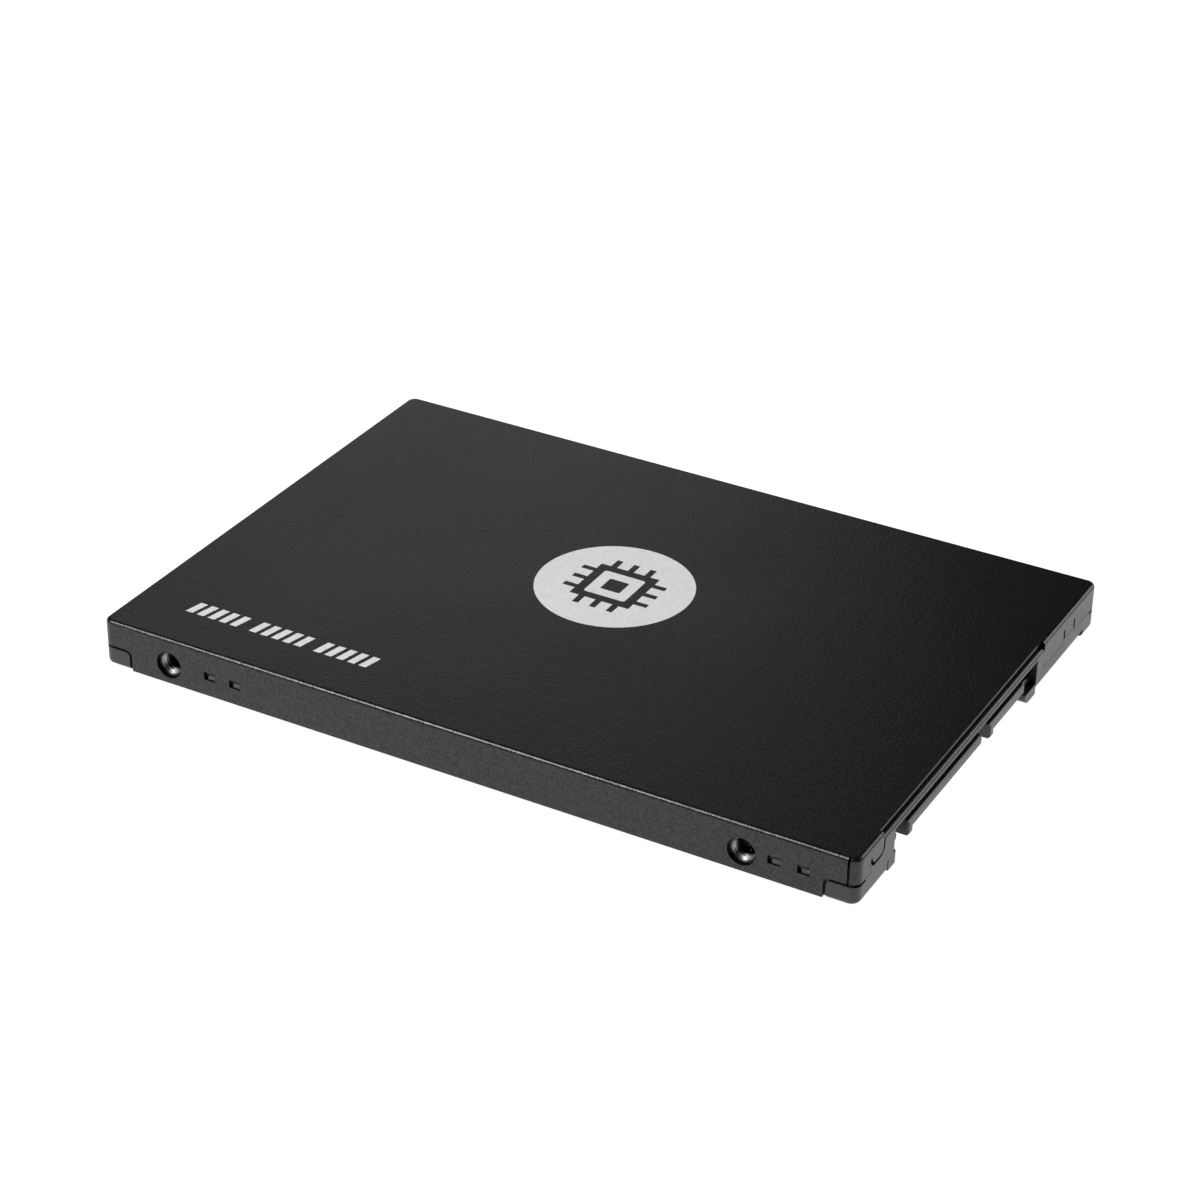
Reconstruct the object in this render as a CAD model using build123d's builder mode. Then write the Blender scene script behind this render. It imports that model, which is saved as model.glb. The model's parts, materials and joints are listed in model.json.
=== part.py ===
from build123d import *
import os

# Solid state drive in the 2.5-inch case. Millimetres.
# Origin: centre of the outline, on the surface that the base stands on.
# +X points to the plug end, +Z up to the printed face of the cover.

# ---------------------------------------------------------------- driving dimensions

# case outline
length = 100.2
width = 69.85
height = 6.8

# folded steel cover
sheet = 0.4
skirt_bottom = 0.7            # the cover's lower edge, above the surface the base stands on
fold_radius = 0.5
corner_radius = 1.2
plate_setback = 0.6           # the cover's free edge over the plug, behind the end plane
seam_gap = 0.3                # open seam between a long wall and an end tab
seam_setback = 1.05           # the seam lies this far behind the end plane
seam_depth = 0.7
relief = 0.1                  # how far cuts run past the faces that they open

# corner ears of the base, in notches of the cover
ear_reach = 4.1
notch_top = 3.4
notch_rounding = 0.9
ear_gap = 0.36
ear_edge_rounding = 0.6

# snap windows in the long walls, one pair beside each side hole
window_width = 1.55
window_height = 1.05
window_z = 3.37
window_spacing = 3.6
window_to_rear_hole = 5.9
window_to_plug_hole = 3.95
hook_width = 0.95
hook_height = 0.75
hook_shift = 0.22             # the hooks stand nearer to the plug end of their windows
hook_proud = 0.42

# end tabs of the cover
near_tab_end = -28.4
far_tab_start = 17.8
tab_bottom = 3.4
tab_fit = 0.07
finger_slot = 0.45
finger_slot_top = 5.15
near_finger_y = -31.5
near_finger_bottom = 4.25
near_finger_rounding = 0.8
far_finger_low_y = 24.4
far_finger_high_y = 27.6
far_finger_bottom = 4.0

# screw holes, to the small-form-factor drive standard
hole_from_end_near = 14.0
hole_spacing_x = 76.6
bottom_hole_spacing_y = 61.72
side_hole_z = 3.2
tapped_radius = 1.25
side_hole_bottom_y = 32.3
bottom_hole_depth = 3.0
cover_hole_radius = 1.77

# threaded blocks
block_length = 6.0
block_inner_y = 29.2
block_outer_y = 34.4
block_top = 4.8
block_wall = 0.9
block_chamfer = 0.3

# base tray
floor_thickness = 1.0
floor_inset = 1.3
floor_chamfer = 0.2
wall_outer_gap = 0.125
wall_thickness = 1.0
wall_top = 5.3
label_recess = 0.15
plug_opening_low_y = -25.4
plug_opening_high_y = 15.7
plug_opening_depth = 8.1
end_wall_thickness = 1.5
far_end_wall_bottom = 1.35    # the end wall is cut higher on its far side
finger_seat_top = 4.6
near_foot_high_y = -24.6      # low feet at both ends of the plug opening
near_foot_top = 2.2
near_foot_groove_y = -26.9
near_foot_rounding = 0.4
far_foot_low_y = 12.4
far_foot_top = 2.1
far_foot_rounding = 1.2
groove_width = 0.22
groove_depth = 0.4
bar_bottom = 5.0
bar_top = 6.05
bar_thickness = 1.3
bar_rounding = 0.5

# circuit board
board_bottom = 3.0
board_thickness = 1.0
board_width = 56.0
board_corner = 1.0
board_rear_x = -22.0
board_front_x = 42.5
board_screw_x = (-18.8, 36.0)
board_screw_y = 24.8
boss_radius = 2.4
screw_shank_radius = 0.8
screw_head_radius = 1.6
screw_head_height = 0.8
screw_length = 3.0
cross_slot = 0.5
board_hole_radius = 1.0

# chips and small parts, all on the board's upper side
chip_thickness = 1.1
small_chip_thickness = 0.85
chip_chamfer = 0.08
dimple_radius = 0.35
dimple_depth = 0.06
dimple_inset = 1.0
controller_x = 24.0
controller_y = -6.0
controller_size = 12.0
controller_pad = 11.0
flash_places = [(6.0, 13.0), (6.0, -13.0), (-11.5, 13.0), (-11.5, -13.0)]
flash_length = 14.0
flash_width = 18.0
flash_pad_length = 12.0
flash_pad_width = 15.0
pad_corner = 0.5
power_chip_place = (30.5, 10.0)
power_chip_size = 5.0
firmware_chip_place = (19.5, -19.5)
firmware_chip_length = 5.0
firmware_chip_width = 6.0
crystal_place = (34.0, -12.0)
inductor_places = [(24.5, 10.0), (24.5, 16.0)]
bulk_capacitor_places = [(38.0, 11.5), (38.0, 7.0), (38.5, -16.5), (38.5, -21.0)]
ceramic_places = [(x, y) for x in (18.5, 22.0, 25.5, 29.0) for y in (2.4, 4.6)] + [
    (x, -14.5) for x in (22.0, 25.5, 29.0)
]
resistor_places = [(x, y) for x in (33.0, 35.5) for y in (-8.0, -6.0, -4.0, -2.0, 0.0, 2.0)]

# plug, to the serial drive standard
plug_centre_y = -4.8
tongue_thickness = 1.23
tongue_bottom = 2.85
power_tongue = 20.57
signal_tongue = 10.41
tongue_gap = 2.41
key_leg = 1.2
key_leg_bottom = 2.15
contact_pitch = 1.27
contact_width = 0.62
contact_thickness = 0.2
contact_bottom = 2.8
contact_tail = 1.6
power_contact_count = 15
signal_contact_count = 7
tongue_chamfer = 0.2
contact_setback = 0.8
plug_body_front_x = 45.0
arm_width = 2.3
arm_inner_spacing = 36.2
arm_bottom = 2.3
arm_top = 3.15
arm_setback = 0.8
arm_rounding = 0.25
peg_length = 2.4
peg_width = 1.4
peg_thickness = 0.3
housing_bottom = 1.3
housing_top = 4.7

# rear label
label_thickness = 0.1
label_length = 62.0
label_width = 50.0
label_corner = 1.0
label_clearance = 1.0

# sizes and edge roundings of the smallest parts: along X, along Y, thickness, rounding
crystal_size = (3.2, 2.5, 0.8, 0.1)
inductor_size = (4.0, 4.0, 1.5, 0.3)
bulk_capacitor_size = (3.5, 2.8, 1.6, 0.1)
ceramic_size = (1.6, 0.8, 0.8, 0.08)
resistor_size = (1.0, 0.5, 0.35, 0.05)

# slack for picking edges and faces by their position
tolerance = 0.01

# ---------------------------------------------------------------- derived values

end_x = length / 2
side_y = width / 2
inner_x = end_x - sheet
inner_y = side_y - sheet
hole_x_plug = end_x - hole_from_end_near
hole_x_rear = hole_x_plug - hole_spacing_x
hole_places = [(hole_x_plug, 1), (hole_x_plug, -1), (hole_x_rear, 1), (hole_x_rear, -1)]
bottom_hole_y = bottom_hole_spacing_y / 2
wall_x = inner_x - wall_outer_gap
wall_y = inner_y - wall_outer_gap
board_top = board_bottom + board_thickness
board_middle_x = (board_rear_x + board_front_x) / 2
ceiling = height - sheet
board_screw_places = [(x, y) for x in board_screw_x for y in (board_screw_y, -board_screw_y)]
plate_edge_x = end_x - plate_setback
tongue_top = tongue_bottom + tongue_thickness
tongue_row = power_tongue + tongue_gap + signal_tongue
power_low_y = plug_centre_y - tongue_row / 2
power_high_y = power_low_y + power_tongue
signal_low_y = power_high_y + tongue_gap
signal_high_y = signal_low_y + signal_tongue
arm_low_y = plug_centre_y - arm_inner_spacing / 2
arm_high_y = plug_centre_y + arm_inner_spacing / 2
window_xs = [
    hole_x_rear + window_to_rear_hole,
    hole_x_rear + window_to_rear_hole + window_spacing,
    hole_x_plug + window_to_plug_hole,
    hole_x_plug + window_to_plug_hole + window_spacing,
]

os.makedirs("parts", exist_ok=True)


def cut_box(low, high):
    """Cuts the box between two corners from the part that is being built."""
    size = [b - a for a, b in zip(low, high)]
    middle = [(a + b) / 2 for a, b in zip(low, high)]
    with Locations(tuple(middle)):
        Box(*size, mode=Mode.SUBTRACT)


def add_box(low, high):
    """Adds the box between two corners to the part that is being built."""
    size = [b - a for a, b in zip(low, high)]
    middle = [(a + b) / 2 for a, b in zip(low, high)]
    with Locations(tuple(middle)):
        Box(*size)


def corner_block(x_sign, y_sign, reach, top, rounding):
    """A corner of the case, up to top, with its two inner upper edges rounded."""
    with BuildPart() as block:
        with BuildSketch(Plane.XY.offset(skirt_bottom)):
            with Locations((x_sign * (end_x - reach / 2), y_sign * (side_y - reach / 2))):
                Rectangle(reach, reach)
        extrude(amount=top - skirt_bottom)
        upper = block.faces().sort_by(Axis.Z)[-1].edges()
        inner_x_edge = upper.filter_by(Axis.Y).sort_by(Axis.X)[0 if x_sign > 0 else -1]
        inner_y_edge = upper.filter_by(Axis.X).sort_by(Axis.Y)[0 if y_sign > 0 else -1]
        fillet([inner_x_edge, inner_y_edge], rounding)
    return block.part


def corner_ear(x_sign, y_sign):
    """An ear of the base: a corner block inside its notch, with its outer edges rounded."""
    with BuildPart() as ear:
        add(corner_block(x_sign, y_sign, ear_reach - ear_gap, notch_top - ear_gap, notch_rounding - ear_gap))
        uprights = ear.edges().filter_by(Axis.Z)
        outer_upright = uprights.sort_by(Axis.X)[::x_sign][-2:].sort_by(Axis.Y)[::y_sign][-1]
        fillet(outer_upright, corner_radius)
        lower = ear.faces().sort_by(Axis.Z)[0].edges()
        inner_x_edge = lower.filter_by(Axis.Y).sort_by(Axis.X)[0 if x_sign > 0 else -1]
        inner_y_edge = lower.filter_by(Axis.X).sort_by(Axis.Y)[0 if y_sign > 0 else -1]
        fillet([edge for edge in lower if edge not in (inner_x_edge, inner_y_edge)], ear_edge_rounding)
    return ear.part


def end_wall(low_y, high_y, bottom):
    """A part of the base's end wall at the plug, with its lower outer edge rounded."""
    with BuildPart() as wall:
        add_box((end_x - end_wall_thickness, low_y, bottom), (end_x, high_y, tab_bottom - tab_fit))
        lower_edges = wall.faces().sort_by(Axis.Z)[0].edges().filter_by(Axis.Y)
        fillet(lower_edges.sort_by(Axis.X)[-1], ear_edge_rounding)
    return wall.part


# ---------------------------------------------------------------- top cover

with BuildPart() as cover_cavity:
    with BuildSketch(Plane.XY.offset(skirt_bottom)):
        RectangleRounded(2 * inner_x, 2 * inner_y, corner_radius - sheet)
    extrude(amount=ceiling - skirt_bottom)
    fillet(cover_cavity.faces().sort_by(Axis.Z)[-1].edges(), fold_radius - sheet)

with BuildPart() as top_cover:
    with BuildSketch(Plane.XY.offset(skirt_bottom)):
        RectangleRounded(length, width, corner_radius)
    extrude(amount=height - skirt_bottom)
    fillet(top_cover.faces().sort_by(Axis.Z)[-1].edges(), fold_radius)
    add(cover_cavity.part, mode=Mode.SUBTRACT)

    # the plate ends short of the end plane between the tabs
    cut_box((plate_edge_x, near_tab_end, skirt_bottom), (end_x, far_tab_start, height))

    # the free edge over the plug has no wall under it
    cut_box((plate_edge_x - sheet, near_tab_end, skirt_bottom), (plate_edge_x, far_tab_start, ceiling))

    # the end tabs stop above the base's end wall, and each has a snap finger between slots
    cut_box((inner_x, -side_y, skirt_bottom), (end_x, side_y, tab_bottom))
    cut_box((inner_x, near_finger_y, tab_bottom), (end_x, near_tab_end, near_finger_bottom))
    cut_box((inner_x, far_finger_low_y, tab_bottom), (end_x, far_finger_high_y, far_finger_bottom))
    for slot_y in (near_finger_y, far_finger_low_y, far_finger_high_y):
        cut_box(
            (inner_x, slot_y - finger_slot / 2, tab_bottom),
            (end_x, slot_y + finger_slot / 2, finger_slot_top),
        )

    # the near finger ends in a round tip
    finger_low_y = near_finger_y + finger_slot / 2
    tip_edges = top_cover.edges().filter_by(Axis.X)
    tip_edges = tip_edges.filter_by_position(
        Axis.Z, near_finger_bottom - tolerance, near_finger_bottom + tolerance
    )
    tip_edges = tip_edges.filter_by_position(Axis.Y, finger_low_y - tolerance, near_tab_end + tolerance)
    fillet(tip_edges, near_finger_rounding)

    # corner notches for the ears of the base
    for x_sign in (-1, 1):
        for y_sign in (-1, 1):
            add(corner_block(x_sign, y_sign, ear_reach, notch_top, notch_rounding), mode=Mode.SUBTRACT)

    # open seams beside the plug end's tabs
    seam_x = end_x - seam_setback
    for y_sign, seam_top in ((-1, height), (1, height - fold_radius)):
        low_y, high_y = sorted((y_sign * (side_y - seam_depth), y_sign * side_y))
        cut_box((seam_x - seam_gap, low_y, notch_top - relief), (seam_x, high_y, seam_top))

    # clearance holes and snap windows in the long walls
    for hole_x, y_sign in hole_places:
        wall_plane = Plane((hole_x, y_sign * side_y, side_hole_z), z_dir=(0, -y_sign, 0))
        with BuildSketch(wall_plane):
            Circle(cover_hole_radius)
        extrude(amount=2 * sheet, mode=Mode.SUBTRACT)
    for window_x in window_xs:
        for y_sign in (-1, 1):
            with Locations((window_x, y_sign * side_y, window_z)):
                Box(window_width, 3 * sheet, window_height, mode=Mode.SUBTRACT)
top_cover.part.label = "top_cover"
export_step(top_cover.part, "parts/top_cover.step")

# ---------------------------------------------------------------- base tray

floor_x = end_x - floor_inset
floor_y = side_y - floor_inset
cheek_low_y = near_tab_end + ear_gap
cheek_high_y = far_tab_start - tab_fit

with BuildPart() as plug_bar:
    add_box((end_x - bar_thickness, cheek_low_y, bar_bottom), (end_x, cheek_high_y, bar_top))
    bar_front = plug_bar.faces().sort_by(Axis.X)[-1].edges().filter_by(Axis.Y)
    fillet(bar_front, bar_rounding)

with BuildPart() as plug_feet:
    add_box(
        (end_x - end_wall_thickness, near_foot_groove_y, skirt_bottom),
        (end_x, near_foot_high_y, near_foot_top),
    )
    near_foot_edge = plug_feet.edges().filter_by(Axis.Z).sort_by(Axis.Y)[-2:].sort_by(Axis.X)[-1]
    fillet(near_foot_edge, near_foot_rounding)
    add_box(
        (end_x - end_wall_thickness, far_foot_low_y, skirt_bottom),
        (end_x, plug_opening_high_y, far_foot_top),
    )
    lower_edges = plug_feet.edges().filter_by(Axis.X).group_by(Axis.Z)[0]
    far_foot_edge = lower_edges.sort_by(Axis.Y)[-2]
    fillet(far_foot_edge, far_foot_rounding)

with BuildPart() as base_tray:
    # floor, a little proud of the cover's lower edge
    with BuildSketch(Plane.XY):
        RectangleRounded(2 * floor_x, 2 * floor_y, corner_radius)
    extrude(amount=floor_thickness)
    chamfer(base_tray.faces().sort_by(Axis.Z)[0].edges(), floor_chamfer)

    # wall that the cover slides over
    with BuildSketch(Plane.XY.offset(skirt_bottom)):
        RectangleRounded(2 * wall_x, 2 * wall_y, corner_radius / 2)
        Rectangle(2 * (wall_x - wall_thickness), 2 * (wall_y - wall_thickness), mode=Mode.SUBTRACT)
    extrude(amount=wall_top - skirt_bottom)

    # end wall at the plug, flush with the cover's tabs
    add(end_wall(-side_y + ear_reach / 2, near_foot_groove_y, skirt_bottom))
    add(end_wall(plug_opening_high_y, side_y - ear_reach / 2, far_end_wall_bottom))
    add_box(
        (end_x - end_wall_thickness, cheek_low_y, skirt_bottom + ear_edge_rounding),
        (end_x, plug_opening_low_y, (bar_bottom + bar_top) / 2),
    )
    add_box(
        (end_x - end_wall_thickness, plug_opening_high_y, far_end_wall_bottom + ear_edge_rounding),
        (end_x, cheek_high_y, (bar_bottom + bar_top) / 2),
    )

    # seats under the fingers of the cover, the near one hollowed round its finger
    seat_low_y = near_finger_y - finger_slot / 2
    seat_middle_y = (seat_low_y + cheek_low_y) / 2
    seat_width = cheek_low_y - seat_low_y
    with BuildSketch(Plane.YZ.offset(end_x - end_wall_thickness)):
        with Locations((seat_middle_y + tab_fit / 2, (tab_bottom + finger_seat_top) / 2 - tab_fit)):
            Rectangle(seat_width - tab_fit, finger_seat_top - tab_bottom)
        with Locations((seat_middle_y, near_finger_bottom - ear_gap + height / 2)):
            RectangleRounded(seat_width, height, near_finger_rounding + ear_gap, mode=Mode.SUBTRACT)
    extrude(amount=end_wall_thickness)
    add_box(
        (end_x - end_wall_thickness, far_finger_low_y - finger_slot / 2 + tab_fit, tab_bottom - relief),
        (end_x, far_finger_high_y + finger_slot / 2 - tab_fit, far_finger_bottom - tab_fit),
    )

    # corner ears
    for x_sign in (-1, 1):
        for y_sign in (-1, 1):
            add(corner_ear(x_sign, y_sign))

    # opening for the plug, through the end wall and the floor
    cut_box(
        (end_x - plug_opening_depth, plug_opening_low_y, 0),
        (end_x, plug_opening_high_y, height),
    )

    # bar over the plug
    add(plug_bar.part)

    # low feet at both ends of the opening, the near one marked off by a groove
    add(plug_feet.part)
    cut_box(
        (end_x - groove_depth, near_foot_groove_y - groove_width / 2, skirt_bottom),
        (end_x, near_foot_groove_y + groove_width / 2, near_foot_top),
    )

    # bosses that hold the board
    with BuildSketch(Plane.XY.offset(floor_thickness)):
        with Locations(*board_screw_places):
            Circle(boss_radius)
    extrude(amount=board_bottom - floor_thickness)
    with BuildSketch(Plane.XY.offset(board_top - screw_length)):
        with Locations(*board_screw_places):
            Circle(screw_shank_radius)
    extrude(amount=screw_length, mode=Mode.SUBTRACT)

    # pockets that hold the threaded blocks
    for hole_x, y_sign in hole_places:
        near_y, far_y = sorted((y_sign * (block_inner_y - block_wall), y_sign * wall_y))
        reach = block_length / 2 + block_wall
        add_box((hole_x - reach, near_y, floor_thickness), (hole_x + reach, far_y, block_top))
    for hole_x, y_sign in hole_places:
        near_y, far_y = sorted((y_sign * block_inner_y, y_sign * wall_y))
        reach = block_length / 2
        cut_box((hole_x - reach, near_y, 0), (hole_x + reach, far_y, wall_top))

    # snap hooks behind the cover's windows, with a sloping lead-in on top
    for window_x in window_xs:
        for y_sign in (-1, 1):
            with BuildSketch(Plane.YZ.offset(window_x + hook_shift - hook_width / 2)):
                with BuildLine():
                    Polyline(
                        (y_sign * (wall_y - hook_proud), window_z - hook_height / 2),
                        (y_sign * (wall_y + hook_proud), window_z - hook_height / 2),
                        (y_sign * (wall_y + hook_proud), window_z - hook_height / 4),
                        (y_sign * wall_y, window_z + hook_height / 2),
                        (y_sign * (wall_y - hook_proud), window_z + hook_height / 2),
                        close=True,
                    )
                make_face()
            extrude(amount=hook_width)

    # shallow recess under the floor for the rear label
    with BuildSketch(Plane.XY):
        RectangleRounded(label_length + label_clearance, label_width + label_clearance, label_corner)
    extrude(amount=label_recess, mode=Mode.SUBTRACT)
base_tray.part.label = "base_tray"
export_step(base_tray.part, "parts/base_tray.step")

# ---------------------------------------------------------------- threaded blocks

with BuildPart() as threaded_blocks:
    for hole_x, y_sign in hole_places:
        near_y, far_y = sorted((y_sign * block_inner_y, y_sign * block_outer_y))
        add_box((hole_x - block_length / 2, near_y, 0), (hole_x + block_length / 2, far_y, block_top))
    chamfer(threaded_blocks.edges().filter_by(Axis.Z), block_chamfer)
    # under the cover's edge the blocks step back, in line with the floor
    for hole_x, y_sign in hole_places:
        near_y, far_y = sorted((y_sign * floor_y, y_sign * block_outer_y))
        cut_box((hole_x - block_length / 2, near_y, 0), (hole_x + block_length / 2, far_y, skirt_bottom))
    for hole_x, y_sign in hole_places:
        side_plane = Plane((hole_x, y_sign * block_outer_y, side_hole_z), z_dir=(0, -y_sign, 0))
        with BuildSketch(side_plane):
            Circle(tapped_radius)
        extrude(amount=block_outer_y - side_hole_bottom_y, mode=Mode.SUBTRACT)
        with BuildSketch(Plane((hole_x, y_sign * bottom_hole_y, 0))):
            Circle(tapped_radius)
        extrude(amount=bottom_hole_depth, mode=Mode.SUBTRACT)
threaded_blocks.part.label = "threaded_blocks"
export_step(threaded_blocks.part, "parts/threaded_blocks.step")

# ---------------------------------------------------------------- circuit board and its screws

with BuildPart() as circuit_board:
    with BuildSketch(Plane.XY.offset(board_bottom)):
        with Locations((board_middle_x, 0)):
            RectangleRounded(board_front_x - board_rear_x, board_width, board_corner)
        with Locations(*board_screw_places):
            Circle(board_hole_radius, mode=Mode.SUBTRACT)
    extrude(amount=board_thickness)
circuit_board.part.label = "circuit_board"
export_step(circuit_board.part, "parts/circuit_board.step")

with BuildPart() as board_screws:
    with BuildSketch(Plane.XY.offset(board_top - screw_length)):
        with Locations(*board_screw_places):
            Circle(screw_shank_radius)
    extrude(amount=screw_length)
    with BuildSketch(Plane.XY.offset(board_top)):
        with Locations(*board_screw_places):
            Circle(screw_head_radius)
    extrude(amount=screw_head_height)
    chamfer(board_screws.faces().group_by(Axis.Z)[-1].edges(), screw_head_height / 4)
    with BuildSketch(Plane.XY.offset(board_top + screw_head_height / 2)):
        with Locations(*board_screw_places):
            Rectangle(screw_head_radius, cross_slot)
            Rectangle(cross_slot, screw_head_radius)
    extrude(amount=screw_head_height, mode=Mode.SUBTRACT)
board_screws.part.label = "board_screws"
export_step(board_screws.part, "parts/board_screws.step")

# ---------------------------------------------------------------- plug

power_contact_ys = [
    (power_low_y + power_high_y + key_leg) / 2 + (i - (power_contact_count - 1) / 2) * contact_pitch
    for i in range(power_contact_count)
]
signal_contact_ys = [
    (signal_low_y + signal_high_y + key_leg) / 2 + (i - (signal_contact_count - 1) / 2) * contact_pitch
    for i in range(signal_contact_count)
]
contact_front_x = end_x - contact_setback
contact_rear_x = board_front_x - contact_tail

with BuildPart() as plug_housing:
    # body across the board's front edge
    add_box(
        (board_front_x, arm_low_y - arm_width, housing_bottom),
        (plug_body_front_x, arm_high_y + arm_width, housing_top),
    )
    # two tongues, each with an L-shaped key at its lower-Y end
    for low_y, high_y in ((power_low_y, power_high_y), (signal_low_y, signal_high_y)):
        add_box((plug_body_front_x, low_y, tongue_bottom), (end_x, high_y, tongue_top))
        add_box((plug_body_front_x, low_y, key_leg_bottom), (end_x, low_y + key_leg, tongue_bottom))
    tongue_tips = plug_housing.faces().filter_by(Axis.X).group_by(Axis.X)[-1].edges()
    chamfer(tongue_tips, tongue_chamfer)
    # guide arms beside the tongues
    for low_y, high_y in ((arm_low_y - arm_width, arm_low_y), (arm_high_y, arm_high_y + arm_width)):
        add_box((plug_body_front_x, low_y, arm_bottom), (end_x - arm_setback, high_y, arm_top))
    arm_fronts = plug_housing.faces().filter_by(Axis.X).filter_by_position(
        Axis.X, end_x - arm_setback - tolerance, end_x - arm_setback + tolerance
    )
    fillet(arm_fronts.edges(), arm_rounding)
    # grooves that hold the contacts
    for contact_y in power_contact_ys + signal_contact_ys:
        cut_box(
            (board_front_x, contact_y - contact_width / 2, contact_bottom),
            (contact_front_x, contact_y + contact_width / 2, contact_bottom + contact_thickness),
        )
plug_housing.part.label = "plug_housing"
export_step(plug_housing.part, "parts/plug_housing.step")

for name, contact_ys in (("power_contacts", power_contact_ys), ("signal_contacts", signal_contact_ys)):
    with BuildPart() as contacts:
        for contact_y in contact_ys:
            add_box(
                (contact_rear_x, contact_y - contact_width / 2, contact_bottom),
                (contact_front_x, contact_y + contact_width / 2, contact_bottom + contact_thickness),
            )
    contacts.part.label = name
    export_step(contacts.part, f"parts/{name}.step")

# pegs that solder the housing to the board at both ends
with BuildPart() as plug_pegs:
    for peg_y in (arm_low_y - arm_width / 2, arm_high_y + arm_width / 2):
        add_box(
            (board_front_x - peg_length, peg_y - peg_width / 2, board_top),
            (board_front_x, peg_y + peg_width / 2, board_top + peg_thickness),
        )
plug_pegs.part.label = "plug_pegs"
export_step(plug_pegs.part, "parts/plug_pegs.step")

# ---------------------------------------------------------------- chips and small parts on the board


def make_chip(name, x, y, size_x, size_y, thickness):
    """A moulded chip package that lies on the board, with its pin-one dimple."""
    with BuildPart() as chip:
        with BuildSketch(Plane.XY.offset(board_top)):
            with Locations((x, y)):
                Rectangle(size_x, size_y)
        extrude(amount=thickness)
        chamfer(chip.faces().sort_by(Axis.Z)[-1].edges(), chip_chamfer)
        with BuildSketch(Plane.XY.offset(board_top + thickness)):
            with Locations((x - size_x / 2 + dimple_inset, y - size_y / 2 + dimple_inset)):
                Circle(dimple_radius)
        extrude(amount=-dimple_depth, mode=Mode.SUBTRACT)
    chip.part.label = name
    export_step(chip.part, f"parts/{name}.step")


def make_pad(name, x, y, size_x, size_y, chip_thickness):
    """A soft pad that fills the space between a chip and the cover."""
    with BuildPart() as pad:
        with BuildSketch(Plane.XY.offset(board_top + chip_thickness)):
            with Locations((x, y)):
                RectangleRounded(size_x, size_y, pad_corner)
        extrude(amount=ceiling - board_top - chip_thickness)
    pad.part.label = name
    export_step(pad.part, f"parts/{name}.step")


make_chip("controller_chip", controller_x, controller_y, controller_size, controller_size, chip_thickness)
make_pad("controller_pad", controller_x, controller_y, controller_pad, controller_pad, chip_thickness)
for number, (flash_x, flash_y) in enumerate(flash_places, start=1):
    make_chip(f"flash_chip_{number}", flash_x, flash_y, flash_length, flash_width, chip_thickness)
    make_pad(f"flash_pad_{number}", flash_x, flash_y, flash_pad_length, flash_pad_width, chip_thickness)
make_chip("power_chip", *power_chip_place, power_chip_size, power_chip_size, small_chip_thickness)
make_chip(
    "firmware_chip", *firmware_chip_place, firmware_chip_length, firmware_chip_width, small_chip_thickness
)


def make_blocks(name, places, size_x, size_y, thickness, rounding):
    """A group of equal small components, each with its upper edges rounded."""
    with BuildPart() as blocks:
        with BuildSketch(Plane.XY.offset(board_top)):
            with Locations(*places):
                Rectangle(size_x, size_y)
        extrude(amount=thickness)
        fillet(blocks.faces().group_by(Axis.Z)[-1].edges(), rounding)
    blocks.part.label = name
    export_step(blocks.part, f"parts/{name}.step")


make_blocks("clock_crystal", [crystal_place], *crystal_size)
make_blocks("power_inductors", inductor_places, *inductor_size)
make_blocks("bulk_capacitors", bulk_capacitor_places, *bulk_capacitor_size)
make_blocks("ceramic_capacitors", ceramic_places, *ceramic_size)
make_blocks("resistors", resistor_places, *resistor_size)

# ---------------------------------------------------------------- rear label

with BuildPart() as rear_label:
    with BuildSketch(Plane.XY.offset(label_recess)):
        RectangleRounded(label_length, label_width, label_corner)
    extrude(amount=-label_thickness)
rear_label.part.label = "rear_label"
export_step(rear_label.part, "parts/rear_label.step")
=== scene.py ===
import json
import math

import bmesh
import bpy
from mathutils import Matrix, Vector


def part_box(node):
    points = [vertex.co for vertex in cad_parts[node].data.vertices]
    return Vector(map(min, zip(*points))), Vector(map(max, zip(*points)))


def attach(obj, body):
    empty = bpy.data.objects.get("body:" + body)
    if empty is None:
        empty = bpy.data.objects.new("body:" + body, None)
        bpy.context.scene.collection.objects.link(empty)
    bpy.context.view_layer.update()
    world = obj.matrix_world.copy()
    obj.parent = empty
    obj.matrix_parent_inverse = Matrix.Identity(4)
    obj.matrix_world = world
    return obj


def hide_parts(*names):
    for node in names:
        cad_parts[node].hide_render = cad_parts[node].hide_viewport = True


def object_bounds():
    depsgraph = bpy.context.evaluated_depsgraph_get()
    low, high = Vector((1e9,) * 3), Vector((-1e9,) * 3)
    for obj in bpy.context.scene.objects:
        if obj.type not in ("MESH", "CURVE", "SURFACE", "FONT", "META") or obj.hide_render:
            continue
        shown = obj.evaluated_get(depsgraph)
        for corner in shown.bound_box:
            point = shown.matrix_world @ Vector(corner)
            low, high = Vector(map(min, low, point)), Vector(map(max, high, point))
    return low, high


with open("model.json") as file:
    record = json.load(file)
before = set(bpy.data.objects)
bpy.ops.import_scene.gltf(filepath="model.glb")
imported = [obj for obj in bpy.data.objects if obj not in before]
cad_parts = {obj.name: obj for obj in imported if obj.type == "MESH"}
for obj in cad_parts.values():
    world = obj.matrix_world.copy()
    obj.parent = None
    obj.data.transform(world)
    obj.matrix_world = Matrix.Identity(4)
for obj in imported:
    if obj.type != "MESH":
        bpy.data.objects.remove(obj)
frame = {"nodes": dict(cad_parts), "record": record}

# Solid state drive. Metres, in the CAD frame: +X points to the plug, +Z to the printed face.

MM = 0.001
CAD_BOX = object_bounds()
COVER_LOW, COVER_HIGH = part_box("top_cover")
NODES = frame["nodes"]
MOUNTS = {mount["name"]: mount for mount in frame["record"]["mounts"]}

# ---------------------------------------------------------------- material nodes


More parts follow.
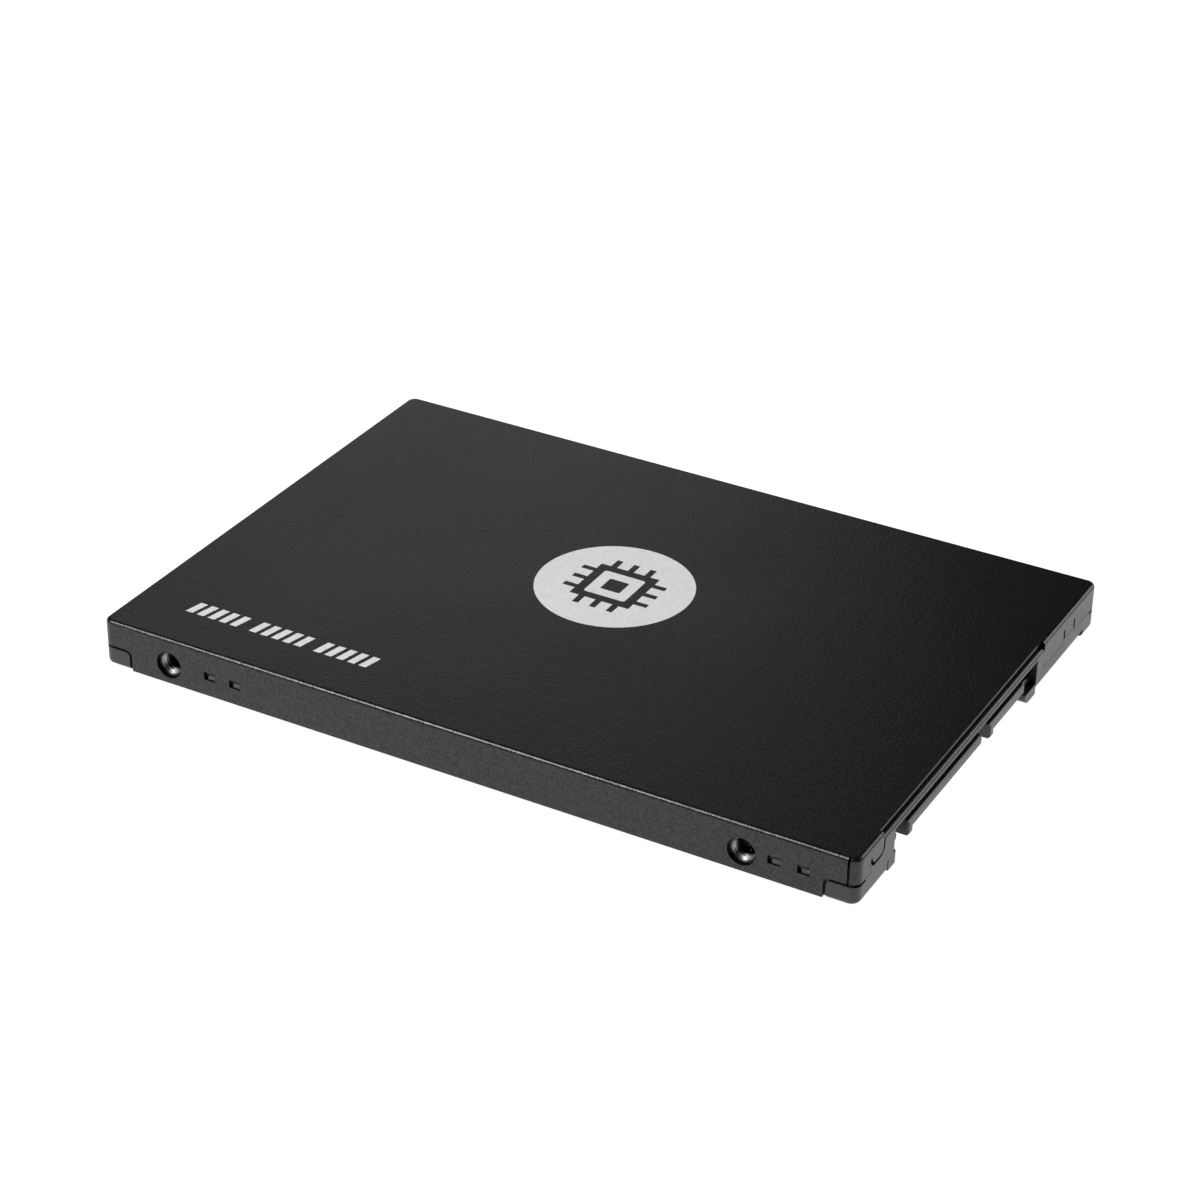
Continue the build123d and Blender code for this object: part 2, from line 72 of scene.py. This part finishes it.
def new_material(name):
    """A node material; gives back its tree and its Principled shader."""
    material = bpy.data.materials.new(name)
    material.use_nodes = True
    tree = material.node_tree
    return material, tree, tree.nodes["Principled BSDF"]


def add_node(tree, kind, **inputs):
    """Adds a node and sets its unlinked inputs, named with _ for spaces."""
    node = tree.nodes.new(kind)
    for name, value in inputs.items():
        node.inputs[name.replace("_", " ")].default_value = value
    return node


def place(tree, stretch=(1, 1, 1)):
    """Object coordinates in metres, so that a grain has its real size, optionally stretched."""
    coordinates = tree.nodes.new("ShaderNodeTexCoord")
    mapping = add_node(tree, "ShaderNodeMapping", Scale=stretch)
    tree.links.new(coordinates.outputs["Object"], mapping.inputs["Vector"])
    return mapping.outputs["Vector"]


def noise(tree, grain, detail=2.0, stretch=(1, 1, 1)):
    """Noise whose grain is about this many metres across."""
    texture = add_node(tree, "ShaderNodeTexNoise", Scale=1 / grain, Detail=detail)
    tree.links.new(place(tree, stretch), texture.inputs["Vector"])
    return texture.outputs["Fac"]


def ramp(tree, fac, stops):
    """Colours along a factor: stops are (position, (r, g, b))."""
    node = tree.nodes.new("ShaderNodeValToRGB")
    elements = node.color_ramp.elements
    while len(elements) < len(stops):
        elements.new(0.5)
    for element, (position, colour) in zip(elements, stops):
        element.position = position
        element.color = (*colour, 1)
    tree.links.new(fac, node.inputs["Fac"])
    return node.outputs["Color"]


def spread(tree, fac, low, high):
    """A factor whose middle half is spread from low to high."""
    node = add_node(tree, "ShaderNodeMapRange", From_Min=0.3, From_Max=0.7, To_Min=low, To_Max=high)
    tree.links.new(fac, node.inputs["Value"])
    return node.outputs["Result"]


def blend_colours(tree, mode, amount, first, second):
    """Two colours blended; amount may be a number or a factor."""
    node = tree.nodes.new("ShaderNodeMix")
    node.data_type = "RGBA"
    node.blend_type = mode
    if isinstance(amount, float):
        node.inputs["Factor"].default_value = amount
    else:
        tree.links.new(amount, node.inputs["Factor"])
    tree.links.new(first, node.inputs["A"])
    tree.links.new(second, node.inputs["B"])
    return node.outputs["Result"]


def bump(tree, height, depth, under=None):
    """A bump of this depth in metres, over another one if it is given."""
    node = add_node(tree, "ShaderNodeBump", Strength=1.0, Distance=depth)
    tree.links.new(height, node.inputs["Height"])
    if under is not None:
        tree.links.new(under, node.inputs["Normal"])
    return node.outputs["Normal"]


def calculate(tree, operation, first, second=0.0):
    """A number worked out from two others; each may be a number or a socket."""
    node = tree.nodes.new("ShaderNodeMath")
    node.operation = operation
    for socket, value in zip(node.inputs, (first, second)):
        if isinstance(value, float):
            socket.default_value = value
        else:
            tree.links.new(value, socket)
    return node.outputs["Value"]


PATCH_SIZE = 12 * MM


def grained(name, dark, light, roughness, grain, depth, coat=0.0):
    """A solid finish: fine grain in colour and height, and broader patches in roughness."""
    material, tree, shader = new_material(name)
    fine = noise(tree, grain, 3.0)
    patches = noise(tree, PATCH_SIZE)
    speckle = ramp(tree, fine, [(0.3, dark), (0.7, light)])
    shade = ramp(tree, patches, [(0.3, (0.86, 0.86, 0.86)), (0.7, (1, 1, 1))])
    tree.links.new(blend_colours(tree, "MULTIPLY", 1.0, speckle, shade), shader.inputs["Base Color"])
    tree.links.new(spread(tree, patches, *roughness), shader.inputs["Roughness"])
    tree.links.new(bump(tree, fine, depth), shader.inputs["Normal"])
    shader.inputs["Coat Weight"].default_value = coat
    return material


def powder_coat(name):
    """Black powder coat: fine pebbled grain over a faint orange peel, with slight broad mottling."""
    material, tree, shader = new_material(name)
    pebbles = noise(tree, 0.3 * MM, 2.0)
    peel = noise(tree, 1.2 * MM, 2.0)
    mottling = noise(tree, 22 * MM, 3.0)
    speckle = ramp(tree, pebbles, [(0.32, (0.001, 0.001, 0.0008)), (0.72, (0.0055, 0.0053, 0.0045))])
    shade = ramp(tree, mottling, [(0.35, (0.8, 0.8, 0.8)), (0.65, (1.0, 0.985, 0.965))])
    tree.links.new(blend_colours(tree, "MULTIPLY", 1.0, speckle, shade), shader.inputs["Base Color"])
    tree.links.new(spread(tree, mottling, 0.31, 0.35), shader.inputs["Roughness"])
    tree.links.new(spread(tree, noise(tree, 0.26 * MM, 1.0), 0.36, 0.64), shader.inputs["Specular IOR Level"])
    peeled = bump(tree, peel, 0.012 * MM)
    tree.links.new(bump(tree, pebbles, 0.024 * MM, under=peeled), shader.inputs["Normal"])
    return material


def machined_metal(name, colour, grain_stretch):
    """Bright metal with fine tool lines along one axis and slight tarnish in patches."""
    material, tree, shader = new_material(name)
    lines = noise(tree, 0.25 * MM, 3.0, grain_stretch)
    tarnish = noise(tree, 1.5 * MM, 3.0)
    dull = tuple(0.72 * value for value in colour)
    tree.links.new(ramp(tree, tarnish, [(0.35, dull), (0.65, colour)]), shader.inputs["Base Color"])
    tree.links.new(spread(tree, lines, 0.18, 0.34), shader.inputs["Roughness"])
    tree.links.new(bump(tree, lines, 0.004 * MM), shader.inputs["Normal"])
    shader.inputs["Metallic"].default_value = 1.0
    return material


HOLE_ZONE_RADIUS = 1.66 * MM
HOLE_ZONE_DEPTH = 2.0 * MM


def blackened_block_with_painted_hole_shade(name):
    """Blackened metal; the side holes have bright cut threads, with painted shade: a dark ring at their
    mouths and dark deep ends.
    """
    material, tree, shader = new_material(name)
    axes = tree.nodes.new("ShaderNodeSeparateXYZ")
    tree.links.new(place(tree), axes.inputs["Vector"])
    pattern = MOUNTS["bottom_screw_holes"]
    from_middle = calculate(tree, "SUBTRACT", axes.outputs["X"], pattern["pos_m"][0])
    along = calculate(tree, "ABSOLUTE", from_middle)
    along = calculate(tree, "SUBTRACT", along, pattern["dims"]["spacing_x_mm"] * MM / 2)
    above = calculate(tree, "SUBTRACT", axes.outputs["Z"], MOUNTS["side_screw_holes_near"]["pos_m"][2])
    along_square = calculate(tree, "POWER", along, 2.0)
    above_square = calculate(tree, "POWER", above, 2.0)
    from_axis_square = calculate(tree, "ADD", along_square, above_square)
    in_hole = calculate(tree, "LESS_THAN", from_axis_square, HOLE_ZONE_RADIUS**2)
    outer = MOUNTS["side_screw_holes_far"]["pos_m"][1]
    depth = calculate(tree, "SUBTRACT", outer, calculate(tree, "ABSOLUTE", axes.outputs["Y"]))
    depth = calculate(tree, "DIVIDE", depth, HOLE_ZONE_DEPTH)
    # Painted shade in the side holes: a dark ring at the mouth stands for the cover edge's shadow, and
    # threads deeper than the bright band are painted dark for the shade deep in the hole.
    painted_mouth_shadow, bright, painted_deep_shade = (0.03, 0.03, 0.03), (0.36, 0.355, 0.35), (0.012, 0.012, 0.012)
    threads_with_painted_shade = ramp(tree, depth, [(0.04, painted_mouth_shadow), (0.12, bright), (0.4, bright), (0.62, painted_deep_shade)])
    tarnish = noise(tree, 0.6 * MM, 3.0)
    plain = ramp(tree, tarnish, [(0.3, (0.05, 0.05, 0.05)), (0.7, (0.09, 0.09, 0.088))])
    tree.links.new(blend_colours(tree, "MIX", in_hole, plain, threads_with_painted_shade), shader.inputs["Base Color"])
    tree.links.new(spread(tree, noise(tree, 0.3 * MM, 3.0), 0.3, 0.42), shader.inputs["Roughness"])
    shader.inputs["Metallic"].default_value = 1.0
    return material


def solder_mask(name):
    """Board lacquer over copper: tracks and pour show as slightly raised, lighter areas."""
    material, tree, shader = new_material(name)
    bricks = add_node(tree, "ShaderNodeTexBrick", Scale=400.0, Mortar_Size=0.06)
    tree.links.new(place(tree), bricks.inputs["Vector"])
    bricks.inputs["Color1"].default_value = (0.006, 0.03, 0.014, 1)
    bricks.inputs["Color2"].default_value = (0.008, 0.04, 0.018, 1)
    bricks.inputs["Mortar"].default_value = (0.004, 0.018, 0.009, 1)
    tree.links.new(bricks.outputs["Color"], shader.inputs["Base Color"])
    tree.links.new(bump(tree, bricks.outputs["Fac"], -0.01 * MM), shader.inputs["Normal"])
    tree.links.new(spread(tree, noise(tree, 3 * MM), 0.25, 0.4), shader.inputs["Roughness"])
    return material


def silk_ink(name, dark, light, roughness):
    """Screen-printed ink: slightly uneven cover, with the mesh's faint texture."""
    material, tree, shader = new_material(name)
    cover = noise(tree, 0.35 * MM, 3.0)
    tree.links.new(ramp(tree, cover, [(0.3, dark), (0.7, light)]), shader.inputs["Base Color"])
    tree.links.new(spread(tree, noise(tree, 4 * MM), *roughness), shader.inputs["Roughness"])
    tree.links.new(bump(tree, cover, 0.006 * MM), shader.inputs["Normal"])
    return material


MATERIALS = {
    "cover_paint": powder_coat("cover_paint"),
    "base_plastic": grained(
        "base_plastic", (0.012, 0.012, 0.012), (0.034, 0.034, 0.033), (0.32, 0.4), 0.26 * MM, 0.014 * MM
    ),
    "block_metal": blackened_block_with_painted_hole_shade("block_metal"),
    "board_mask": solder_mask("board_mask"),
    "screw_steel": machined_metal("screw_steel", (0.6, 0.6, 0.6), (4, 1, 1)),
    "plug_plastic": grained(
        "plug_plastic", (0.02, 0.02, 0.02), (0.04, 0.04, 0.04), (0.3, 0.4), 0.2 * MM, 0.008 * MM
    ),
    "contact_gold": machined_metal("contact_gold", (0.9, 0.65, 0.26), (1, 5, 5)),
    "chip_resin": grained(
        "chip_resin", (0.012, 0.012, 0.012), (0.035, 0.035, 0.035), (0.5, 0.62), 0.1 * MM, 0.008 * MM
    ),
    "thermal_pad": grained(
        "thermal_pad", (0.2, 0.24, 0.28), (0.32, 0.37, 0.42), (0.7, 0.85), 0.3 * MM, 0.02 * MM
    ),
    "crystal_can": machined_metal("crystal_can", (0.75, 0.75, 0.72), (1, 4, 1)),
    "ferrite": grained(
        "ferrite", (0.05, 0.05, 0.052), (0.1, 0.1, 0.105), (0.55, 0.7), 0.12 * MM, 0.01 * MM
    ),
    "tantalum_resin": grained(
        "tantalum_resin", (0.42, 0.24, 0.04), (0.55, 0.34, 0.08), (0.4, 0.5), 0.2 * MM, 0.006 * MM
    ),
    "capacitor_ceramic": grained(
        "capacitor_ceramic", (0.32, 0.22, 0.13), (0.42, 0.3, 0.19), (0.35, 0.5), 0.15 * MM, 0.004 * MM
    ),
    "resistor_film": grained(
        "resistor_film", (0.015, 0.015, 0.016), (0.03, 0.03, 0.032), (0.25, 0.4), 0.15 * MM, 0.004 * MM
    ),
    "label_film": grained(
        "label_film", (0.6, 0.6, 0.595), (0.68, 0.68, 0.67), (0.35, 0.45), 0.5 * MM, 0.003 * MM, coat=0.3
    ),
    "cover_ink": silk_ink("cover_ink", (0.76, 0.76, 0.755), (0.88, 0.88, 0.875), (0.38, 0.5)),
    "label_ink": silk_ink("label_ink", (0.02, 0.02, 0.02), (0.05, 0.05, 0.05), (0.4, 0.5)),
}


def dress_nodes():
    """Gives each CAD node the material of its slot."""
    for subpart in frame["record"]["subparts"]:
        slots = NODES[subpart["node"]].data.materials
        slots.clear()
        slots.append(MATERIALS[subpart["material_slot"]])


dress_nodes()

# ---------------------------------------------------------------- mesh helpers


def link_piece(name, mesh, material):
    """Puts a mesh in the scene as a piece that rides on the case."""
    piece = bpy.data.objects.new(name, mesh)
    bpy.context.scene.collection.objects.link(piece)
    mesh.materials.clear()
    mesh.materials.append(MATERIALS[material])
    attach(piece, "root")
    return piece


def mesh_from(build):
    """Turns a bmesh into a mesh."""
    bmesh.ops.recalc_face_normals(build, faces=build.faces)
    mesh = bpy.data.meshes.new("piece")
    build.to_mesh(mesh)
    build.free()
    return mesh


def flat_shape(outlines, low_z, high_z):
    """A thin plate from closed outlines; an outline inside another one is a hole in it."""
    curve = bpy.data.curves.new("outline", "CURVE")
    curve.dimensions = "2D"
    curve.fill_mode = "BOTH"
    curve.extrude = (high_z - low_z) / 2
    for outline in outlines:
        spline = curve.splines.new("POLY")
        spline.points.add(len(outline) - 1)
        spline.use_cyclic_u = True
        for point, (x, y) in zip(spline.points, outline):
            point.co = (x, y, 0, 1)
    holder = bpy.data.objects.new("outline", curve)
    mesh = bpy.data.meshes.new_from_object(holder)
    bpy.data.objects.remove(holder)
    bpy.data.curves.remove(curve)
    mesh.transform(Matrix.Translation((0, 0, (low_z + high_z) / 2)))
    build = bmesh.new()
    build.from_mesh(mesh)
    bmesh.ops.remove_doubles(build, verts=build.verts, dist=1e-7)
    return mesh_from(build)


def circle_points(centre, radius, count=96):
    """Points round a circle."""
    steps = [2 * math.pi * i / count for i in range(count)]
    return [(centre[0] + radius * math.cos(a), centre[1] + radius * math.sin(a)) for a in steps]


def rounded_box_points(low, high, radius, arc_steps=8):
    """Points round a rectangle with round corners."""
    points = []
    corners = [(high[0], high[1], 0), (low[0], high[1], 90), (low[0], low[1], 180), (high[0], low[1], 270)]
    for x, y, start in corners:
        centre_x = x - radius if x == high[0] else x + radius
        centre_y = y - radius if y == high[1] else y + radius
        for step in range(arc_steps + 1):
            angle = math.radians(start + 90 * step / arc_steps)
            points.append((centre_x + radius * math.cos(angle), centre_y + radius * math.sin(angle)))
    return points


# ---------------------------------------------------------------- print on the cover

INK_THICKNESS = 0.015 * MM
DISC_RADIUS = 10.0 * MM
DISC_CENTRE = (-0.86 * MM, 3.36 * MM)
CHIP_HALF = 4.1 * MM
CHIP_LINE = 1.25 * MM
CHIP_CORE_HALF = 1.35 * MM
PIN_LENGTH = 1.75 * MM
PIN_HALF_WIDTH = 0.42 * MM
PIN_SPACING = 2.35 * MM


def pinned_square(centre, half):
    """The outline of a square chip with three pins on each side."""
    side = [(half, -half)]
    for pin in (-1, 0, 1):
        low, high = pin * PIN_SPACING - PIN_HALF_WIDTH, pin * PIN_SPACING + PIN_HALF_WIDTH
        side += [(half, low), (half + PIN_LENGTH, low), (half + PIN_LENGTH, high), (half, high)]
    points = []
    for turn in range(4):
        c, s = [(1, 0), (0, 1), (-1, 0), (0, -1)][turn]
        points += [(centre[0] + c * x - s * y, centre[1] + s * x + c * y) for x, y in side]
    return points


def square_points(centre, half, radius):
    """A square with round corners about a centre."""
    low = (centre[0] - half, centre[1] - half)
    high = (centre[0] + half, centre[1] + half)
    return rounded_box_points(low, high, radius)


def make_emblem():
    """A white disc with a plain chip pictogram left open in it."""
    outlines = [
        circle_points(DISC_CENTRE, DISC_RADIUS),
        pinned_square(DISC_CENTRE, CHIP_HALF),
        square_points(DISC_CENTRE, CHIP_HALF - CHIP_LINE, 0.4 * MM),
        square_points(DISC_CENTRE, CHIP_CORE_HALF, 0.2 * MM),
    ]
    mesh = flat_shape(outlines, COVER_HIGH.z, COVER_HIGH.z + INK_THICKNESS)
    link_piece("cover_emblem", mesh, "cover_ink")


LEGEND_START = (-42.6 * MM, -28.3 * MM)
LEGEND_HEIGHT = 2.5 * MM
LEGEND_SLANT = 0.55 * MM
LEGEND_BAR = 0.98 * MM
LEGEND_PITCH = 1.6 * MM
LEGEND_GROUP = 5
LEGEND_GROUP_PITCH = 9.2 * MM
LEGEND_GROUPS = 3


def make_legend():
    """Three groups of slanted blocks in the place of a printed line."""
    outlines = []
    for group in range(LEGEND_GROUPS):
        for bar in range(LEGEND_GROUP):
            x = LEGEND_START[0] + group * LEGEND_GROUP_PITCH + bar * LEGEND_PITCH
            y = LEGEND_START[1]
            top = y + LEGEND_HEIGHT
            slant = LEGEND_SLANT
            outlines.append([(x, y), (x + LEGEND_BAR, y), (x + LEGEND_BAR + slant, top), (x + slant, top)])
    mesh = flat_shape(outlines, COVER_HIGH.z, COVER_HIGH.z + INK_THICKNESS)
    link_piece("cover_legend", mesh, "cover_ink")


LABEL_LOW, LABEL_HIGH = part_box("rear_label")
LABEL_MARGIN = 2.0 * MM
LABEL_RULE = 0.35 * MM
FRAME_ROUNDING = 1.5 * MM
FRAME_PADDING = 3.0 * MM
LINE_LENGTHS = (24 * MM, 31 * MM, 19 * MM, 27 * MM, 22 * MM)
LINE_HEIGHT = 1.3 * MM
LINE_PITCH = 3.6 * MM
LINE_ROUNDING = 0.3 * MM
BAR_WIDTHS = (0.4 * MM, 0.9 * MM, 0.5 * MM, 0.4 * MM, 1.2 * MM, 0.5 * MM, 0.8 * MM, 0.4 * MM, 0.6 * MM)
BAR_REPEATS = 3
BAR_GAP = 0.55 * MM
BAR_HEIGHT = 8.0 * MM
SQUARE_HALF = 5.0 * MM
SQUARE_RULE = 0.6 * MM
SQUARE_PITCH = 13.0 * MM


def make_label_print():
    """Plain marks on the rear label: a frame, lines of blocks, a row of bars and two open squares."""
    left, low = LABEL_LOW.x + LABEL_MARGIN, LABEL_LOW.y + LABEL_MARGIN
    right, high = LABEL_HIGH.x - LABEL_MARGIN, LABEL_HIGH.y - LABEL_MARGIN
    rule = LABEL_RULE
    outlines = [
        rounded_box_points((left, low), (right, high), FRAME_ROUNDING),
        rounded_box_points((left + rule, low + rule), (right - rule, high - rule), 0.8 * FRAME_ROUNDING),
    ]
    left, low = left + FRAME_PADDING, low + FRAME_PADDING
    right, high = right - FRAME_PADDING, high - FRAME_PADDING
    for row, length in enumerate(LINE_LENGTHS):
        top = high - row * LINE_PITCH
        outlines.append(rounded_box_points((left, top - LINE_HEIGHT), (left + length, top), LINE_ROUNDING))
    x = left
    for bar_width in BAR_WIDTHS * BAR_REPEATS:
        after = x + bar_width
        outlines.append([(x, low), (after, low), (after, low + BAR_HEIGHT), (x, low + BAR_HEIGHT)])
        x = after + BAR_GAP
    for row in range(2):
        centre = (right - SQUARE_HALF, high - SQUARE_HALF - row * SQUARE_PITCH)
        outlines.append(square_points(centre, SQUARE_HALF, SQUARE_HALF / 5))
        outlines.append(square_points(centre, SQUARE_HALF - SQUARE_RULE, SQUARE_RULE))
    mesh = flat_shape(outlines, LABEL_LOW.z - INK_THICKNESS, LABEL_LOW.z)
    link_piece("label_print", mesh, "label_ink")


make_emblem()
make_legend()
make_label_print()

# ---------------------------------------------------------------- threaded blocks

THREAD_PITCH = 0.5 * MM
THREAD_MAJOR = 1.5 * MM
THREAD_MOUTH = 1.62 * MM
THREAD_MINOR = MOUNTS["bottom_screw_holes"]["dims"]["hole_r_mm"] * MM
SIDE_HOLE_DEPTH = 2.0 * MM
BOTTOM_HOLE_DEPTH = 3.0 * MM
THREAD_SIDES = 48
THREAD_STEPS_PER_TURN = 12
CUT_MARGIN = 0.3 * MM
BLOCK_DEPTH = 5.2 * MM
BLOCK_EDGE = 0.18 * MM
BLOCK_STEP = 1.3 * MM


def thread_radius(angle, depth):
    """The wall of a threaded hole: a triangular helix, opened out at its mouth."""
    turn = (depth / THREAD_PITCH + angle / (2 * math.pi)) % 1.0
    ridge = 1 - abs(2 * turn - 1)
    radius = THREAD_MINOR + (THREAD_MAJOR - THREAD_MINOR) * min(1.0, 1.25 * ridge)
    return max(radius, THREAD_MOUTH - 1.2 * depth)


def thread_core(place_matrix, depth):
    """The solid to cut for a threaded hole; its mouth is at the matrix's origin, and it runs along -Z."""
    build = bmesh.new()
    rows = int(depth / THREAD_PITCH * THREAD_STEPS_PER_TURN)
    rings = []
    for row in range(-1, rows + 1):
        down = -CUT_MARGIN if row < 0 else depth * row / rows
        ring = []
        for step in range(THREAD_SIDES):
            angle = 2 * math.pi * step / THREAD_SIDES
            radius = thread_radius(angle, max(0.0, down))
            ring.append(build.verts.new((radius * math.cos(angle), radius * math.sin(angle), -down)))
        rings.append(ring)
    for upper, lower in zip(rings, rings[1:]):
        for step in range(THREAD_SIDES):
            after = (step + 1) % THREAD_SIDES
            build.faces.new((upper[step], lower[step], lower[after], upper[after]))
    build.faces.new(rings[0])
    tip = build.verts.new((0, 0, -depth - 0.4 * THREAD_MINOR))
    for step in range(THREAD_SIDES):
        build.faces.new((rings[-1][step], tip, rings[-1][(step + 1) % THREAD_SIDES]))
    bmesh.ops.transform(build, matrix=place_matrix, verts=build.verts)
    return mesh_from(build)


def start_box(first, second):
    """A bmesh of the box between two opposite corners."""
    build = bmesh.new()
    bmesh.ops.create_cube(build, size=1.0)
    size = Matrix.Diagonal((*[abs(b - a) for a, b in zip(first, second)], 1))
    middle = Matrix.Translation([(a + b) / 2 for a, b in zip(first, second)])
    bmesh.ops.transform(build, matrix=middle @ size, verts=build.verts)
    return build


def facing(direction, position):
    """A matrix whose Z points along direction, at a position."""
    turn = Vector(direction).to_track_quat("Z", "Y").to_matrix().to_4x4()
    return Matrix.Translation(position) @ turn


def cut(mesh, cores):
    """Cuts the core meshes out of a mesh."""
    body = bpy.data.objects.new("body", mesh)
    bpy.context.scene.collection.objects.link(body)
    tools = []
    for core in cores:
        tool = bpy.data.objects.new("core", core)
        bpy.context.scene.collection.objects.link(tool)
        modifier = body.modifiers.new("cut", "BOOLEAN")
        modifier.object = tool
        modifier.solver = "EXACT"
        tools.append(tool)
    result = bpy.data.meshes.new_from_object(body.evaluated_get(bpy.context.evaluated_depsgraph_get()))
    for made in [body, *tools]:
        bpy.data.objects.remove(made)
    return result


def make_threaded_blocks():
    """The four metal blocks, with real threads, stepped back under the cover's lower edge."""
    low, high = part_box("threaded_blocks")
    pattern = MOUNTS["bottom_screw_holes"]
    half_x = pattern["dims"]["spacing_x_mm"] * MM / 2
    half_y = pattern["dims"]["spacing_y_mm"] * MM / 2
    middle_x = pattern["pos_m"][0]
    side_z = MOUNTS["side_screw_holes_near"]["pos_m"][2]
    block_half = (high.x - low.x) / 2 - half_x
    for end, x in (("rear", middle_x - half_x), ("plug", middle_x + half_x)):
        for side, sign in (("near", -1), ("far", 1)):
            outer_y = sign * high.y
            inner_y = outer_y - sign * BLOCK_DEPTH
            build = start_box((x - block_half, inner_y, low.z), (x + block_half, outer_y, high.z))
            under_edge = (
                (x - 2 * block_half, sign * (COVER_HIGH.y - BLOCK_STEP), low.z - block_half),
                (x + 2 * block_half, sign * 2 * COVER_HIGH.y, COVER_LOW.z),
            )
            bmesh.ops.bevel(build, geom=build.edges, offset=BLOCK_EDGE, segments=2, affect="EDGES")
            cores = [
                thread_core(facing((0, sign, 0), (x, outer_y, side_z)), SIDE_HOLE_DEPTH),
                thread_core(facing((0, 0, -1), (x, sign * half_y, low.z)), BOTTOM_HOLE_DEPTH),
                mesh_from(start_box(*under_edge)),
            ]
            block = link_piece(f"threaded_block_{end}_{side}", cut(mesh_from(build), cores), "block_metal")
            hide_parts("threaded_blocks")


make_threaded_blocks()

# ---------------------------------------------------------------- camera, floor and light

CAMERA_AZIMUTH = 28.62
CAMERA_ELEVATION = 30.24
CAMERA_ROLL = 1.014
CAMERA_DISTANCE = 378.1 * MM
CAMERA_LENS = 92.18
CAMERA_SENSOR = 36.0
AIM_RIGHT = -0.84 * MM
AIM_UP = 5.23 * MM
FLOOR_HALF = 3.0


def toward(azimuth, elevation):
    """The direction from the object to a point at this azimuth and elevation."""
    a, e = math.radians(azimuth), math.radians(elevation)
    return Vector((math.sin(a) * math.cos(e), -math.cos(a) * math.cos(e), math.sin(e)))


def make_camera():
    """The camera, aimed a little above the middle of the cover's lower edge plane."""
    back = toward(CAMERA_AZIMUTH, CAMERA_ELEVATION)
    level = Vector((0, 0, 1)).cross(back).normalized()
    upright = back.cross(level)
    roll = math.radians(CAMERA_ROLL)
    right = level * math.cos(roll) + upright * math.sin(roll)
    up = upright * math.cos(roll) - level * math.sin(roll)
    middle = Vector((0, 0, COVER_LOW.z))
    camera = bpy.data.objects.new("camera", bpy.data.cameras.new("camera"))
    bpy.context.scene.collection.objects.link(camera)
    camera.data.sensor_width = CAMERA_SENSOR
    camera.data.lens = CAMERA_LENS
    camera.data.clip_start = 0.01
    place_at = middle + back * CAMERA_DISTANCE + right * AIM_RIGHT + up * AIM_UP
    turn = Matrix((right, up, back)).transposed().to_4x4()
    camera.matrix_world = Matrix.Translation(place_at) @ turn
    bpy.context.scene.camera = camera


def make_floor():
    """A plain white floor, which glows enough to show hardly any shadow."""
    build = bmesh.new()
    bmesh.ops.create_grid(build, x_segments=1, y_segments=1, size=FLOOR_HALF)
    mesh = mesh_from(build)
    floor = bpy.data.objects.new("floor", mesh)
    floor.location.z = CAD_BOX[0].z
    bpy.context.scene.collection.objects.link(floor)
    material, tree, shader = new_material("floor")
    shader.inputs["Base Color"].default_value = (0.25, 0.25, 0.25, 1)
    shader.inputs["Roughness"].default_value = 0.9
    shader.inputs["Specular IOR Level"].default_value = 0.1
    shader.inputs["Emission Color"].default_value = (1, 1, 1, 1)
    shader.inputs["Emission Strength"].default_value = 0.97
    mesh.materials.append(material)


def make_light(name, azimuth, elevation, distance, size, power, colour=(1, 1, 1)):
    """A soft rectangular light that faces the object."""
    light = bpy.data.lights.new(name, "AREA")
    light.shape = "RECTANGLE"
    light.size, light.size_y = size
    light.energy = power
    light.color = colour
    holder = bpy.data.objects.new(name, light)
    bpy.context.scene.collection.objects.link(holder)
    direction = toward(azimuth, elevation)
    holder.location = direction * distance
    holder.rotation_mode = "QUATERNION"
    holder.rotation_quaternion = direction.to_track_quat("Z", "Y")


def make_world(strength):
    """Even, pale surroundings."""
    world = bpy.data.worlds.new("studio")
    bpy.context.scene.world = world
    world.use_nodes = True
    background = world.node_tree.nodes["Background"]
    background.inputs["Color"].default_value = (1, 1, 1, 1)
    background.inputs["Strength"].default_value = strength


bpy.context.scene.view_settings.view_transform = "Standard"
make_camera()
make_floor()
make_light("key", -40, 49, 0.9, (0.3, 0.3), 7.5)
make_light("front", -50, 14, 0.5, (0.25, 0.15), 0.15)
make_light("side", 146, 24, 0.9, (0.4, 0.4), 2.17, (1, 0.98, 0.92))
make_light("back", 215, 25, 0.9, (0.4, 0.3), 0.29, (1, 0.98, 0.92))
make_world(0.01)
